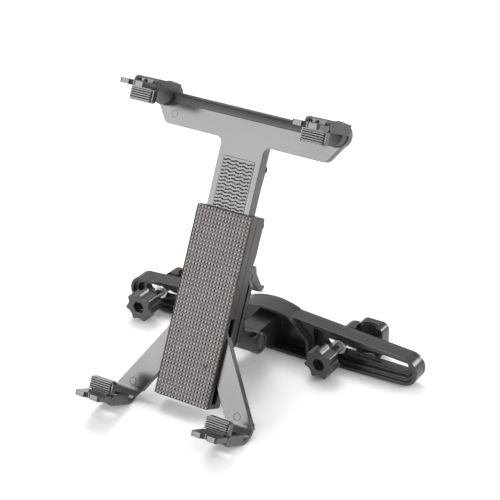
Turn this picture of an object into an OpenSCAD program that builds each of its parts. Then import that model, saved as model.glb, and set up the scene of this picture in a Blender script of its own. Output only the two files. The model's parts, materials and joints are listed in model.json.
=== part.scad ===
// Headrest tablet mount, millimetres, +Z up.
// It stands as on a table: on its two feet and the flat underside of its beam.
// The origin is on the table, at the middle of the beam's flat underside.
// Cradle pieces are drawn in the cradle's own frame: x across, y from the pad's face to the
// back, z up the cradle. Beam pieces are drawn in the beam's frame, on its middle line.

/* [Cradle body] */
// Width of the cradle body
body_w = 41; // [38:0.5:46]
// Length of the cradle body
body_h = 125; // [118:1:135]
// Depth of the cradle body, pad included
body_d = 16.4; // [15.5:0.1:20]
// Thickness of the grip pad
pad_t = 1.6; // [1:0.1:2.2]
// Margin from the body's edge to the pad
pad_margin = 0.4; // [0.2:0.1:1.5]
// Depth of the seam between the front frame and the rear housing
seam_y = 8.6; // [8:0.1:9.5]
// Wall of the front frame and the rear housing
shell_t = 2.2; // [1.8:0.1:2.6]

/* [Top bar] */
// Thickness of the moulded plate of the top bar
bar_t = 2.6; // [2:0.1:3]
// Thickness of the guide rails beside the sliding stem
rail_t = 2.2; // [1.6:0.1:3]
// Depth of the stem's side walls
stem_d = 8; // [6:0.5:8.4]
// Height of the stem's lower end above the body's middle
stem_low = 20; // [14:1:26]
// Height of the wing's lower edge above the body's middle
wing_low = 106.2; // [100:0.1:116]
// Height of the wing
wing_h = 20.8; // [17:0.1:24]
// Half width of the wing at its lower corners
wing_half = 59.5; // [56:0.5:66]
// Radius of the wing's lower corners
wing_r = 5; // [3:0.5:7]
// Radius of the round ends of the wing
lobe_r = 8.4; // [7.6:0.1:9.5]
// Depth of the rim behind the wing
rim_d = 3; // [2:0.5:5]
// Reach of the forward curved flange along the wing's top
flange_reach = 6.9; // [5:0.1:8]
// Radius of the corners between stem and wing
neck_r = 4.5; // [3:0.5:8]

/* [Legs] */
// Distance between the two leg pivots
leg_gap = 17; // [16.8:0.1:18.5]
// Height of the leg pivots, below the body's middle
leg_drop = 11.5; // [10:0.5:14]
// Width of each leg
leg_w = 16.6; // [14:0.2:16.6]
// Splay of each leg from straight down, in degrees
leg_splay = 32; // [26:1:36]
// Outer radius of the bend into the foot
foot_r = 11; // [9:0.5:13]
// Height of the centre of the foot's bend, below the body's middle
foot_drop = 64; // [60:0.5:70]

/* [Claws] */
// Distance between the two upper claws
claw_gap = 124.8; // [118:0.4:130]
// Width of a claw's arm
arm_w = 17.4; // [15:0.2:19]
// Height of a claw's arm
arm_h = 7; // [6:0.2:8]
// Distance from the pad's face forward to the claw pins
pin_reach = 20.5; // [15:0.5:26]
// Radius of the claw pins
claw_pin_r = 1; // [0.8:0.1:1.3]
// Height of the ribbed lip
lip_h = 8.6; // [7:0.2:11]
// Thickness of the ribbed lip
lip_t = 4.2; // [3:0.2:5]
// Reach of the flat tab ahead of the claw pin
tab_reach = 18.5; // [14:0.5:20]
// Number of ribs on a lip
rib_count = 6; // [4:1:8]

/* [Hinge and swivel] */
// Distance from the pad's face back to the hinge axis
hinge_back = 66.5; // [62:0.5:72]
// Distance of the hinge axis below the body's middle
hinge_drop = 22; // [20:0.5:26]
// Height of the hinge axis above the beam's middle line
hinge_rise = 6.9; // [5:0.1:9]
// Outer radius of the hinge barrel
barrel_r = 7.3; // [6.5:0.1:8]
// Radius of the hinge bolt
hinge_pin_r = 3; // [2.5:0.1:3.5]
// Width of the bracket
bracket_w = 26; // [24:0.5:30]
// Width of the beam's hinge lug
lug_w = 15.4; // [13:0.2:16]
// Radius of the index disc on the housing's back
disc_r = 16.5; // [15:0.1:18]
// Thickness of the index disc
disc_t = 4; // [3:0.5:5]
// Radius of the swivel spindle
spindle_r = 5; // [4:0.5:6]
// Height of the swivel plate on the bracket
plate_h = 46; // [40:1:52]
// Length of the lock lever's thumb plate
lock_reach = 17; // [14:0.5:20]
// Length of the release lever above its pin
release_reach = 34; // [28:1:38]
// Number of notches round the index disc
notch_count = 24; // [12:6:36]

/* [Beam] */
// Length of the beam
beam_l = 228; // [216:1:240]
// Depth of the beam from its front rim to its back
beam_d = 12.6; // [11:0.1:15]
// Depth of the back cover
cover_t = 3.2; // [2.6:0.1:3.6]
// Distance of the flat underside below the beam's middle line
beam_low = 12.1; // [11.5:0.1:13]
// Radius of the rounded ends
beam_end_r = 10.2; // [9:0.1:11]
// Height of the beam's top edge beside the hood
beam_top = 15.6; // [14.5:0.1:17]
// Height of the hood's crown
hood_top = 19.9; // [18.5:0.1:22]
// Half width of the hood
hood_half = 35.5; // [33:0.5:38]
// Distance that the hood stands out ahead of the beam's rim
hood_out = 3.7; // [2:0.1:6]
// Wall of the hood
hood_t = 2.4; // [1.8:0.1:3]
// Distance ahead of the hinge axis to the beam's front rim
beam_back = 27.8; // [26:0.1:32]
// Height of the bolt slots
slot_h = 6.8; // [6.4:0.1:7.2]
// Distance from the hood to each slot's inner end
slot_gap = 9.5; // [8:0.5:14]
// Distance from the beam's end to each slot's outer end
slot_margin = 13; // [12.5:0.5:18]
// Length over which the beam's underside rises to its ends
taper_l = 42; // [36:1:50]

/* [Clamps] */
// Radius of the clamp bolts
bolt_r = 3; // [2.5:0.1:3]
// Radius of the headrest post that the jaws take
post_r = 6; // [5:0.1:6.4]
// Thickness of the jaw's rubber lining
lining_t = 1; // [0.8:0.1:1.5]
// Distance of the left clamp's bolt from its slot's outer end
left_bolt_in = 9.5; // [0:0.5:30]
// Distance of the right clamp's bolt from its slot's inner end
right_bolt_in = 8; // [0:0.5:30]
// Distance from a bolt to the post that it clamps
post_offset = 14; // [11.5:0.5:16]
// Thickness of the jaw
jaw_t = 10; // [8:0.5:13]
// Outer radius of the star knobs
knob_r = 10.8; // [9:0.1:11]
// Thickness of the star knobs
knob_t = 12; // [9:0.5:13]
// Distance from the beam's rim forward to the knobs
knob_out = 10; // [9.5:0.5:12]
// Number of points on a knob
knob_points = 7; // [5:1:9]

/* [Clearances] */
// Gap between pieces that slide or turn on each other
run_gap = 0.3; // [0.2:0.05:0.4]
// Radial gap of a pin that turns in its hole
pin_gap = 0.06; // [0.03:0.01:0.1]
// Side gap between the stem and its guide rails
rail_gap = 0.3; // [0.2:0.05:0.5]

/* [Hidden] */
$fn = 72;
far = 200;
eps = 0.01;

// Levels through the cradle's depth
front_in = pad_t + 2.6;
plate_y0 = front_in + 0.4;
stem_y1 = plate_y0 + stem_d;
rear_in = body_d - shell_t;
top_step = 1.8;
leg_y0 = plate_y0 + 0.4;
leg_rim_y1 = leg_y0 + bar_t + 2.2;
disc_y1 = body_d + disc_t;
bracket_y0 = disc_y1 + run_gap;

// Places in the cradle frame
half_h = body_h / 2;
inner_w = body_w - 2 * shell_t;
stem_w = inner_w - 2 * (rail_t + rail_gap);
wing_top = wing_low + wing_h;
lobe_x = claw_gap / 2;
lobe_z = wing_top - 2.4;
rim_y1 = plate_y0 + bar_t + rim_d;
wave_w = stem_w - 8.6;
flange_y = plate_y0 - flange_reach;
arm_in = wing_top - 1.7;
arm_out = arm_in + arm_h;
top_pin_z = arm_in + arm_h / 2;
leg_x = leg_gap / 2;
foot_in_r = foot_r - bar_t;
foot_y = leg_y0 + bar_t - foot_r;
foot_low = foot_drop + foot_r;
low_pin_z = -foot_low + arm_h / 2;
low_claw_x = leg_x + (foot_low - arm_h - leg_drop - 0.5) * tan(leg_splay) + 0.4;

// The cradle leans back until its feet stand on the table beside the beam
hinge_z = beam_low + hinge_rise;
under_y = (beam_d - hood_out) / 2;
hinge_y = -under_y - beam_back;
foot_dy = hinge_back - foot_y;
foot_dz = foot_drop - hinge_drop;
lean = atan2(foot_dz, foot_dy) - asin((hinge_z - foot_r) / norm([foot_dy, foot_dz]));

// Release lever and lock lever
release_z = half_h - 4.5;
release_y = rear_in + 0.8;
release_w = stem_w - 5.2;
lock_y = bracket_y0 + 10.8;
lock_z = disc_r + 6;
lock_ear_w = 8.8;

// Beam
beam_half = beam_l / 2;
end_x = beam_half - beam_end_r;
end_z = -0.3;
shell_y1 = beam_d - cover_t;
ledge_y = 2.6;
floor_y = 6.4;
slot_in = hood_half + slot_gap;
slot_out = beam_half - slot_margin;
crown_half = hood_half - 17;
shoulder_z = 2.5;
crown_z = hood_top - 3.4;
gusset_z = hinge_rise + barrel_r - 1.8;
crown_r = (pow(crown_half, 2) + pow(hood_top - crown_z, 2)) / (2 * (hood_top - crown_z));

// Clamps, in the beam frame
left_bolt_x = -slot_out + left_bolt_in;
right_bolt_x = slot_in + right_bolt_in;
groove_r = post_r + 0.1 + lining_t;
post_y = beam_d + post_r + 0.1;
jaw_y0 = post_y + 2.2;
jaw_y1 = jaw_y0 + jaw_t;
jaw_top = 13.2;
jaw_low = -11;
jaw_side = 8;

// Moves a piece from the cradle frame to its place
module in_cradle() {
    translate([0, hinge_y, hinge_z]) rotate([-lean, 0, 0]) translate([0, -hinge_back, hinge_drop]) children();
}

// Moves a piece from the beam frame to its place
module in_beam() { translate([0, -under_y, beam_low]) children(); }

// Gives an outline drawn in x and z its depth from y0 to y1
module plate_y(y0, y1) { translate([0, y1, 0]) rotate([90, 0, 0]) linear_extrude(y1 - y0) children(); }

// Gives an outline drawn in y and z its width from x0 to x1
module plate_x(x0, x1) { translate([x0, 0, 0]) rotate([90, 0, 90]) linear_extrude(x1 - x0) children(); }

// A round bar along y
module bar_y(r, y0, y1) { translate([0, y0, 0]) rotate([-90, 0, 0]) cylinder(h = y1 - y0, r = r); }

// A round bar along x
module bar_x(r, x0, x1) { translate([x0, 0, 0]) rotate([0, 90, 0]) cylinder(h = x1 - x0, r = r); }

module round_rect(w, h, r) {
    square([w - 2 * r, h], center = true);
    square([w, h - 2 * r], center = true);
    for (x = [-1, 1], y = [-1, 1]) translate([x * (w / 2 - r), y * (h / 2 - r)]) circle(r);
}

// Straight strip of width t from point a to point b
module strip(a, b, t) {
    d = (b - a) / norm(b - a);
    n = [-d[1], d[0]] * t / 2;
    polygon([a + n, b + n, b - n, a - n]);
}

module both_sides() { children(); mirror([1, 0, 0]) children(); }

// Grip pad
module grip_pad() {
    color("dimgray") in_cradle() plate_y(0, pad_t)
        round_rect(body_w - 2 * pad_margin, body_h - 2 * pad_margin, 1.5);
}

module body_outline() { round_rect(body_w, body_h, 1.8); }
module body_inside() { square([inner_w, body_h - 2 * shell_t], center = true); }

// Mouths in the body's sides that the legs swing in
module leg_mouths() {
    mouth_top = -leg_drop + leg_w / 2;
    mouth_low = -half_h + shell_t + 1.4;
    translate([-far / 2, leg_y0 - run_gap, mouth_low])
        cube([far, leg_rim_y1 - leg_y0 + 2 * run_gap, mouth_top - mouth_low]);
}

screw_places = [[-body_w / 2 + 2.2, half_h - 5.5], [body_w / 2 - 2.2, half_h - 5.5],
    [-body_w / 2 + 2.2, 8], [body_w / 2 - 2.2, 8], [0, -half_h + 6.5]];
module at_screws() { for (p = screw_places) translate([p[0], 0, p[1]]) children(); }

module front_frame() {
    rail_x = stem_w / 2 + rail_gap;
    color("gray") in_cradle() difference() {
        union() {
            plate_y(pad_t, front_in) body_outline();
            difference() {
                plate_y(pad_t, seam_y) body_outline();
                plate_y(front_in, seam_y + 1) body_inside();
                translate([-rail_x, front_in, half_h - shell_t - 1]) cube([2 * rail_x, far, far]);
                leg_mouths();
            }
            both_sides() translate([rail_x, front_in - eps, 4]) cube([inner_w / 2 - rail_x, seam_y - front_in, half_h - 6]);
            for (s = [-1, 1]) translate([s * leg_x, 0, -leg_drop]) bar_y(4, front_in - eps, leg_y0 - run_gap / 2);
            translate([0, 0, -half_h + 6.5]) bar_y(3.2, front_in - eps, seam_y);
        }
        for (s = [-1, 1]) translate([s * leg_x, 0, -leg_drop]) bar_y(2.5, front_in - 1.2, far);
        at_screws() bar_y(1, front_in, far);
    }
}

module rear_housing() {
    rail_x = stem_w / 2 + rail_gap;
    boss_y = leg_y0 + 3 + run_gap;
    color("darkslategray") in_cradle() difference() {
        union() {
            // The top end is deeper, with a slope down to the swivel
            intersection() {
                plate_y(rear_in, far) body_outline();
                plate_x(-far, far) polygon([[rear_in, half_h - 33], [body_d, half_h - 33],
                    [body_d + top_step, half_h - 25], [body_d + top_step, half_h], [rear_in, half_h]]);
            }
            difference() {
                plate_y(seam_y, body_d) body_outline();
                plate_y(seam_y - 1, rear_in) body_inside();
                translate([-rail_x, 0, half_h - shell_t - 1]) cube([2 * rail_x, stem_y1 + run_gap, far]);
                leg_mouths();
            }
            both_sides() translate([rail_x, seam_y, 4]) cube([inner_w / 2 - rail_x, rear_in - seam_y + eps, half_h - 6]);
            for (s = [-1, 1]) translate([s * leg_x, 0, -leg_drop]) bar_y(4.5, boss_y, rear_in + eps);
            translate([0, 0, -half_h + 6.5]) bar_y(3.2, seam_y, rear_in + eps);
        }
        for (s = [-1, 1]) translate([s * leg_x, 0, -leg_drop]) bar_y(2.5, 0, rear_in - 0.6);
        bar_y(spindle_r + pin_gap, 0, far);
        translate([-release_w / 2 - run_gap, seam_y, release_z - 14]) cube([release_w + 2 * run_gap, far, far]);
        at_screws() bar_y(1, 0, far);
        at_screws() bar_y(1.9, rear_in + 0.9, far);
        translate([0, release_y, release_z]) bar_x(1.2, -release_w / 2 - 3, release_w / 2 + 3);
    }
}

module housing_screws() {
    color("silver") in_cradle() at_screws() {
        bar_y(1, front_in, body_d);
        bar_y(1.9, rear_in + 0.9, body_d - 0.1);
    }
}

// Fork at the end of a claw arm, with its pin hole at the origin and its outer side up
module claw_fork(back) {
    difference() {
        union() {
            plate_x(-arm_w / 2, arm_w / 2) {
                circle(arm_h / 2);
                translate([0, -arm_h / 2]) square([back, arm_h]);
            }
        }
        translate([-arm_w / 2 + 2.6, -far + 7, -far / 2]) cube([arm_w - 5.2, far, far]);
        translate([-arm_w / 2 + 2.6, 7 - eps, -arm_h]) cube([arm_w - 5.2, max(back - 10, 1), 2 * arm_h - 2.2 - arm_h / 2]);
        bar_x(claw_pin_r, -far, far);
    }
}

// Claw with its pin hole at the origin: ribbed lip pointing in, flat tab pointing forward
module claw_shape() {
    knuckle_w = arm_w - 5.2 - 2 * run_gap;
    lip_y0 = -lip_t - 0.3;
    lip_z1 = -arm_h / 2 - run_gap;
    tab_y1 = -arm_h / 2 - run_gap;
    rib_gap = (lip_h - 1.6) / rib_count;
    difference() {
        union() {
            bar_x(arm_h / 2 - 0.3, -knuckle_w / 2, knuckle_w / 2);
            translate([-knuckle_w / 2, lip_y0, lip_z1 - 1]) cube([knuckle_w, lip_t, -lip_z1 + 1.2]);
            plate_y(lip_y0, -0.3) translate([0, lip_z1 - lip_h / 2]) round_rect(arm_w, lip_h, 2);
            plate_y(lip_y0, -0.3) translate([-arm_w / 2, lip_z1 - 3]) square([arm_w, 3]);
            for (i = [0 : rib_count - 1]) translate([-arm_w / 2 + 1.2, lip_y0 - 0.45, lip_z1 - lip_h + 1.1 + i * rib_gap])
                cube([arm_w - 2.4, 0.5, rib_gap * 0.55]);
            translate([-knuckle_w / 2, tab_y1 - 3, -arm_h / 2 + 0.1]) cube([knuckle_w, 3.6, arm_h / 2]);
            translate([0, 0, -arm_h / 2 + 0.1]) linear_extrude(3.4) difference() {
                translate([0, (tab_y1 - tab_reach) / 2]) round_rect(arm_w + 1.2, tab_reach + tab_y1, 1.6);
                translate([0, -tab_reach]) circle(2.4);
            }
        }
        bar_x(claw_pin_r + pin_gap, -far, far);
        // Two pockets in the front of the knuckle, over the tab
        for (x = [[-knuckle_w / 2 + 0.8, 3.2], [-0.4, 5.4]])
            translate([x[0], -far, 0.3]) cube([x[1], far - claw_pin_r - 0.7, 2]);
    }
}
module at_top_claw(s) { translate([s * claw_gap / 2, -pin_reach, top_pin_z]) children(); }
module at_low_claw(s) { translate([s * low_claw_x, -pin_reach, low_pin_z]) mirror([0, 0, 1]) children(); }
module claw_pin() { bar_x(claw_pin_r, -arm_w / 2 + 0.3, arm_w / 2 - 0.3); }

module claw_top_left() { color("gray") in_cradle() at_top_claw(-1) claw_shape(); }
module claw_top_right() { color("gray") in_cradle() at_top_claw(1) claw_shape(); }
module claw_low_left() { color("gray") in_cradle() at_low_claw(-1) claw_shape(); }
module claw_low_right() { color("gray") in_cradle() at_low_claw(1) claw_shape(); }
module claw_pin_top_left() { color("silver") in_cradle() at_top_claw(-1) claw_pin(); }
module claw_pin_top_right() { color("silver") in_cradle() at_top_claw(1) claw_pin(); }
module claw_pin_low_left() { color("silver") in_cradle() at_low_claw(-1) claw_pin(); }
module claw_pin_low_right() { color("silver") in_cradle() at_low_claw(1) claw_pin(); }

// Top bar: wing, stem, forward flange and the two claw arms, moulded in one
// Points on an arc about c from angle a0 to a1
function arc(c, r, a0, a1, n = 8) = [for (i = [0 : n]) c + r * [cos(a0 + (a1 - a0) * i / n), sin(a0 + (a1 - a0) * i / n)]];
// Outline of the wing, drawn in by an inset
module wing_outline(inset) {
    r = lobe_r - inset;
    side = [lobe_x + r * 0.98, lobe_z - r * 0.25];
    slope = atan2(lobe_z - lobe_r * 0.25 - wing_low, lobe_x + lobe_r * 0.98 - wing_half);
    corner = [wing_half - inset * tan(slope / 2) - wing_r * tan(slope / 2), wing_low + wing_r];
    half = concat(arc(corner, wing_r - inset, -90, slope - 90), [side, [lobe_x, wing_top - inset]]);
    polygon(concat(half, [for (i = [len(half) - 1 : -1 : 0]) [-half[i][0], half[i][1]]]));
    for (s = [-1, 1]) translate([s * lobe_x, lobe_z]) circle(r);
}
module stem_outline() {
    translate([-stem_w / 2, stem_low]) square([stem_w, wing_low - stem_low + 1]);
    for (s = [-1, 1]) translate([s * stem_w / 2, wing_low]) mirror([s > 0 ? 0 : 1, 0]) difference() {
        translate([-1, -neck_r]) square([neck_r + 1, neck_r + 1]);
        translate([neck_r, -neck_r]) circle(neck_r);
    }
}
module top_bar() {
    plate_y1 = plate_y0 + bar_t;
    bend_r = flange_reach - 0.5;
    color("gray") in_cradle() {
        difference() {
            union() {
                plate_y(plate_y0, plate_y1) { wing_outline(0); stem_outline(); }
                // Side walls of the stem
                both_sides() translate([stem_w / 2 - 2.2, plate_y1 - eps, stem_low]) cube([2.2, stem_d - bar_t, wing_low - stem_low + 4]);
                // Rim behind the wing, and the round bosses that carry the arms
                plate_y(plate_y1 - eps, rim_y1) difference() { wing_outline(0); wing_outline(2); }
                for (s = [-1, 1]) translate([s * lobe_x, 0, lobe_z]) bar_y(lobe_r - 0.7, flange_y, plate_y0 + eps);
                // Toothed rack down the stem's back
                translate([-4, plate_y1 - eps, stem_low + 2]) cube([8, 1.2, wing_low - stem_low - 6]);
                for (i = [0 : floor((wing_low - stem_low - 10) / 3)])
                    plate_x(-4, 4) translate([plate_y1 + 1.1, stem_low + 3 + i * 3]) polygon([[0, 0], [1.3, 0], [0, 2.4]]);
                // Flange that curves forward along the wing's top
                plate_x(-lobe_x, lobe_x) difference() {
                    translate([plate_y0 - bend_r, wing_top - bend_r]) square([bend_r + eps, bend_r]);
                    translate([plate_y0 - bend_r, wing_top - bend_r]) circle(bend_r - 1.2);
                    translate([plate_y0 - bend_r - far, wing_top - far - 1.2]) square(far);
                }
                translate([-lobe_x, flange_y, wing_top - 1.2]) cube([2 * lobe_x, flange_reach, 1.2]);
                for (s = [-1, 1]) at_top_claw(s) claw_fork(pin_reach + plate_y0 + eps);
            }
            // Wavy panel pressed into the stem
            translate([-wave_w / 2, plate_y0 - 1, stem_low + 3]) cube([wave_w, 1.4, wing_low - stem_low - 13.7]);
            // Hollow backs of the bosses
            for (s = [-1, 1]) translate([s * lobe_x, 0, lobe_z]) bar_y(lobe_r - 2.9, flange_y + 2.4, far);
        }
    }
}

// Right leg: a rimmed plate on a round root, bent forward at the foot to carry its claw arm
leg_dir = [sin(leg_splay), -cos(leg_splay)];
leg_root = [leg_x, -leg_drop];
foot_in = low_claw_x - arm_w / 2;
foot_out = low_claw_x + arm_w / 2;
// Leg with straight sides half a width off its middle line, down to the arm's sides
module leg_bar(half_w, inset) {
    n = [cos(leg_splay), sin(leg_splay)] * half_w;
    low = -foot_low - 1;
    polygon([leg_root + n, leg_root + n + leg_dir * (foot_out - inset - leg_root[0] - n[0]) / leg_dir[0],
        [foot_out - inset, low], [foot_in + inset, low],
        leg_root - n + leg_dir * (foot_in + inset - leg_root[0] + n[0]) / leg_dir[0], leg_root - n]);
}
module leg_outline() {
    translate(leg_root) circle(leg_w / 2);
    leg_bar(leg_w / 2 - 0.02, 0);
}
module foot_profile() {
    translate([leg_y0, -foot_drop]) square([bar_t, far / 2]);
    difference() {
        translate([foot_y, -foot_drop]) circle(foot_r);
        translate([foot_y, -foot_drop]) circle(foot_in_r);
        translate([foot_y - far, -far]) square([far, 2 * far]);
        translate([foot_y - far / 2, -foot_drop]) square([far, far]);
    }
    translate([foot_y - 3, -foot_low]) square([3 + eps, bar_t]);
}
module leg_shape() {
    difference() {
        union() {
            intersection() {
                plate_y(-far / 4, far / 4) leg_outline();
                plate_x(-far / 2, far / 2) foot_profile();
            }
            plate_y(leg_y0 + bar_t - 0.2, leg_rim_y1) difference() {
                leg_bar(leg_w / 2 - 0.02, 0);
                leg_bar(leg_w / 2 - 1.6, 1.6);
                translate(leg_root) circle(leg_w / 2 + 4);
                translate([-far / 2, -far - foot_drop - 2]) square([far, far]);
            }
            translate([leg_root[0], 0, leg_root[1]]) bar_y(leg_w / 2, leg_y0, leg_y0 + 3);
            at_low_claw(1) claw_fork(pin_reach + foot_y + eps);
        }
        translate([leg_root[0], 0, leg_root[1]]) bar_y(2.5 + pin_gap, -far, far);
    }
}
module leg_right() { color("lightslategray") in_cradle() leg_shape(); }
module leg_left() { color("lightslategray") in_cradle() mirror([1, 0, 0]) leg_shape(); }
module leg_pin(s) { translate([s * leg_x, 0, -leg_drop]) bar_y(2.5, front_in - 1.2, rear_in - 0.6); }
module leg_pin_left() { color("silver") in_cradle() leg_pin(-1); }
module leg_pin_right() { color("silver") in_cradle() leg_pin(1); }

// Release lever: a tongue behind the stem with a pawl over the rack
module release_lever() {
    tip = [stem_y1 + 4.6, release_z + release_reach];
    color("dimgray") in_cradle() difference() {
        union() {
            plate_x(-release_w / 2, release_w / 2) {
                strip([release_y, release_z - 11], [release_y, release_z + 6], 2.4);
                strip([release_y, release_z + 5], tip, 2.4);
                translate(tip) circle(2.5);
                translate([release_y, release_z]) circle(2.3);
            }
            plate_x(-4, 4) polygon([[release_y, release_z - 11], [release_y, release_z - 7],
                [plate_y0 + bar_t + 2.4 + run_gap + 0.2, release_z - 8.5], [plate_y0 + bar_t + 2.4 + run_gap + 0.2, release_z - 9.5]]);
        }
        translate([0, release_y, release_z]) bar_x(1.2 + pin_gap, -far, far);
        translate([0, tip[0], tip[1]]) bar_x(1.4, -far, far);
    }
}
module release_pin() {
    color("silver") in_cradle() translate([0, release_y, release_z]) bar_x(1.2, -release_w / 2 - 3, release_w / 2 + 3);
}

// Index disc on the housing's back
module index_disc() {
    color("gray") in_cradle() difference() {
        bar_y(disc_r, body_d, disc_y1);
        for (i = [0 : notch_count - 1]) rotate([0, i * 360 / notch_count, 0])
            translate([0, 0, disc_r + 0.5]) bar_y(1.4, body_d - 1, disc_y1 + 1);
        bar_y(spindle_r + pin_gap, body_d - 1, disc_y1 + 1);
    }
}

// Tilt bracket: swivel plate and spindle, then a J-shaped arm to the hinge fork
saddle = [hinge_back - 13, -hinge_drop + 22.5];
saddle_r = 15.6;
module bracket_profile() {
    difference() {
        union() {
            polygon([[bracket_y0, -disc_r], [bracket_y0, disc_r - 3.5], [lock_y + 2, disc_r - 3.5], [bracket_y0 + 15, 5],
                [hinge_back - 14, -hinge_drop + 18], [hinge_back, -hinge_drop], [hinge_back - 1.2, -hinge_drop - barrel_r],
                [hinge_back - 21, -hinge_drop - 4], [bracket_y0 + 8, -hinge_drop - 1]]);
            translate([hinge_back, -hinge_drop]) circle(barrel_r);
        }
        translate(saddle) circle(saddle_r);
    }
}
module tilt_bracket() {
    color("lightslategray") in_cradle() difference() {
        union() {
            plate_y(bracket_y0, bracket_y0 + 4) translate([0, -0.5]) round_rect(body_w - 2.4, plate_h, 5);
            plate_x(-bracket_w / 2, bracket_w / 2) bracket_profile();
            bar_y(spindle_r, rear_in - 0.1, bracket_y0 + 1);
            // Ear of the lock lever
            plate_x(-lock_ear_w / 2, lock_ear_w / 2) {
                translate([lock_y, lock_z]) circle(3.4);
                translate([lock_y - 3.4, disc_r - 4]) square([6.8, lock_z - disc_r + 4]);
            }
        }
        translate([-lug_w / 2 - run_gap, hinge_back - barrel_r - 2, -far]) cube([lug_w + 2 * run_gap, far, 2 * far]);
        translate([0, hinge_back, -hinge_drop]) bar_x(hinge_pin_r, -far, far);
        for (s = [-1, 1]) translate([0, hinge_back, -hinge_drop])
            bar_x(5, s > 0 ? bracket_w / 2 - 1.6 : -far, s > 0 ? far : -bracket_w / 2 + 1.6);
        translate([0, lock_y, lock_z]) bar_x(1.5, -far, far);
        bar_y(1.6, 0, bracket_y0 + 8);
        // Way of the lock lever's pawl through the swivel plate
        translate([-bracket_w / 2 - 0.6, bracket_y0 - 1, disc_r - 3.6]) cube([bracket_w + 1.2, 5.1, far]);
        // Grooves inside the arm's low outer walls
        both_sides() intersection() {
            union() {
                plate_x(bracket_w / 2 - 4.4, bracket_w / 2 - 2.4) translate(saddle) circle(saddle_r + 4.9);
                plate_x(bracket_w / 2 - 2.5, far) translate(saddle) circle(saddle_r + 3);
            }
            translate([0, bracket_y0 + 9, -far]) cube([far, hinge_back - barrel_r - 2 - bracket_y0 - 9, 2 * far]);
        }
        // Hollow underside of the arm
        plate_x(-bracket_w / 2 + 2.6, bracket_w / 2 - 2.6)
            polygon([[bracket_y0 + 4, -far], [bracket_y0 + 4, -disc_r + 4], [bracket_y0 + 12.4, -disc_r + 6],
                [hinge_back - 23, -hinge_drop + 1.6], [hinge_back - 12, -hinge_drop - 1.6], [hinge_back - 12, -far]]);
    }
}
module spindle_washer() {
    color("silver") in_cradle() difference() { bar_y(8, rear_in - 1.4, rear_in - 0.1); bar_y(1.7, 0, far); }
}
module spindle_screw() {
    color("silver") in_cradle() {
        bar_y(1.6, rear_in - 1.5, bracket_y0 + 7);
        bar_y(3, rear_in - 3.6, rear_in - 1.4);
    }
}

// Lock lever: ridged thumb plate at the back, pawl over the index disc in front
module lock_lever() {
    nub = [lock_y + 2.8, lock_z + 5.9];
    tip = nub + lock_reach * [0.8, -0.6] + [2.4, -3];
    pawl = [body_d + disc_t / 2 + 0.4, disc_r + 1.9];
    ear = lock_ear_w / 2 + run_gap;
    color("gray") in_cradle() difference() {
        union() {
            plate_x(-bracket_w / 2, bracket_w / 2) polygon([nub + [-1.4, 1.2], nub + [1.2, 1.4], nub + [3.4, -3],
                tip + [-2.2, 1.9], tip + [1.6, 2.2], tip + [1.9, 0.6], tip + [-0.4, -2.2], tip + [-4.2, -2.2],
                [lock_y + 4, lock_z - 3.8], [lock_y - 2.2, lock_z - 3.8], [lock_y - 3.8, lock_z], [lock_y - 3.8, lock_z + 3.6]]);
            plate_x(-bracket_w / 2 + 0.01, bracket_w / 2 - 0.01) strip([lock_y - 1, lock_z + 1.8], pawl, 2.8);
        }
        // Room for the ear and the pin
        translate([0, lock_y, lock_z]) bar_x(3.4 + 2 * run_gap, -ear, ear);
        translate([-ear, lock_y - 3.4 - 2 * run_gap, 0]) cube([2 * ear, 6.8 + 4 * run_gap, lock_z]);
        translate([0, lock_y, lock_z]) bar_x(1.5 + pin_gap, -far, far);
    }
}
module lock_pin() { color("silver") in_cradle() translate([0, lock_y, lock_z]) bar_x(1.5, -bracket_w / 2 + 0.4, bracket_w / 2 - 0.4); }

// Hinge bolt with its round head in the right ear, and the nut in the left ear
module hinge_bolt() {
    color("dimgray") in_cradle() translate([0, hinge_back, -hinge_drop]) {
        bar_x(hinge_pin_r, -bracket_w / 2 + 0.2, bracket_w / 2 - 1.5);
        difference() {
            bar_x(4.3, bracket_w / 2 - 1.6, bracket_w / 2 - 0.2);
            bar_x(2.6, bracket_w / 2 - 0.6, far);
        }
    }
}
module hinge_nut() {
    color("silver") in_cradle() translate([0, hinge_back, -hinge_drop]) difference() {
        translate([-bracket_w / 2 + 0.1, 0, 0]) rotate([0, 90, 0]) cylinder(h = 1.5, r = 4.9, $fn = 6);
        bar_x(hinge_pin_r, -far, far);
    }
}

// Outline of the beam's arms, drawn in by an inset
module arm_outline(inset) {
    r = beam_end_r - inset;
    polygon([[-end_x, end_z - r + 0.04], [-end_x + taper_l, -beam_low + inset], [end_x - taper_l, -beam_low + inset],
        [end_x, end_z - r + 0.04], [end_x, end_z + r - 0.04], [crown_half, beam_top - inset],
        [-crown_half, beam_top - inset], [-end_x, end_z + r - 0.04]]);
    for (s = [-1, 1]) translate([s * end_x, end_z]) circle(r);
}
module hood_outline(inset) {
    h = hood_half - inset;
    shoulder = [h - 1, shoulder_z - inset * 0.4];
    crown = [crown_half - inset * 0.4, crown_z];
    peak = shoulder + (crown - shoulder) * 1.8;
    intersection() {
        translate([0, hood_top - crown_r]) circle(crown_r - inset, $fn = 180);
        polygon([[-h, -beam_low + inset], [h, -beam_low + inset], shoulder, peak, [-peak[0], peak[1]],
            [-shoulder[0], shoulder[1]]]);
    }
}
module slot_outline(h) {
    for (s = [-1, 1]) {
        translate([min(s * slot_in, s * slot_out), -h / 2]) square([slot_out - slot_in, h]);
        for (x = [slot_in, slot_out]) translate([s * x, 0]) circle(h / 2);
    }
}
module outside_hood() {
    difference() {
        children();
        square([2 * hood_half + 2, far], center = true);
    }
}
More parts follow.
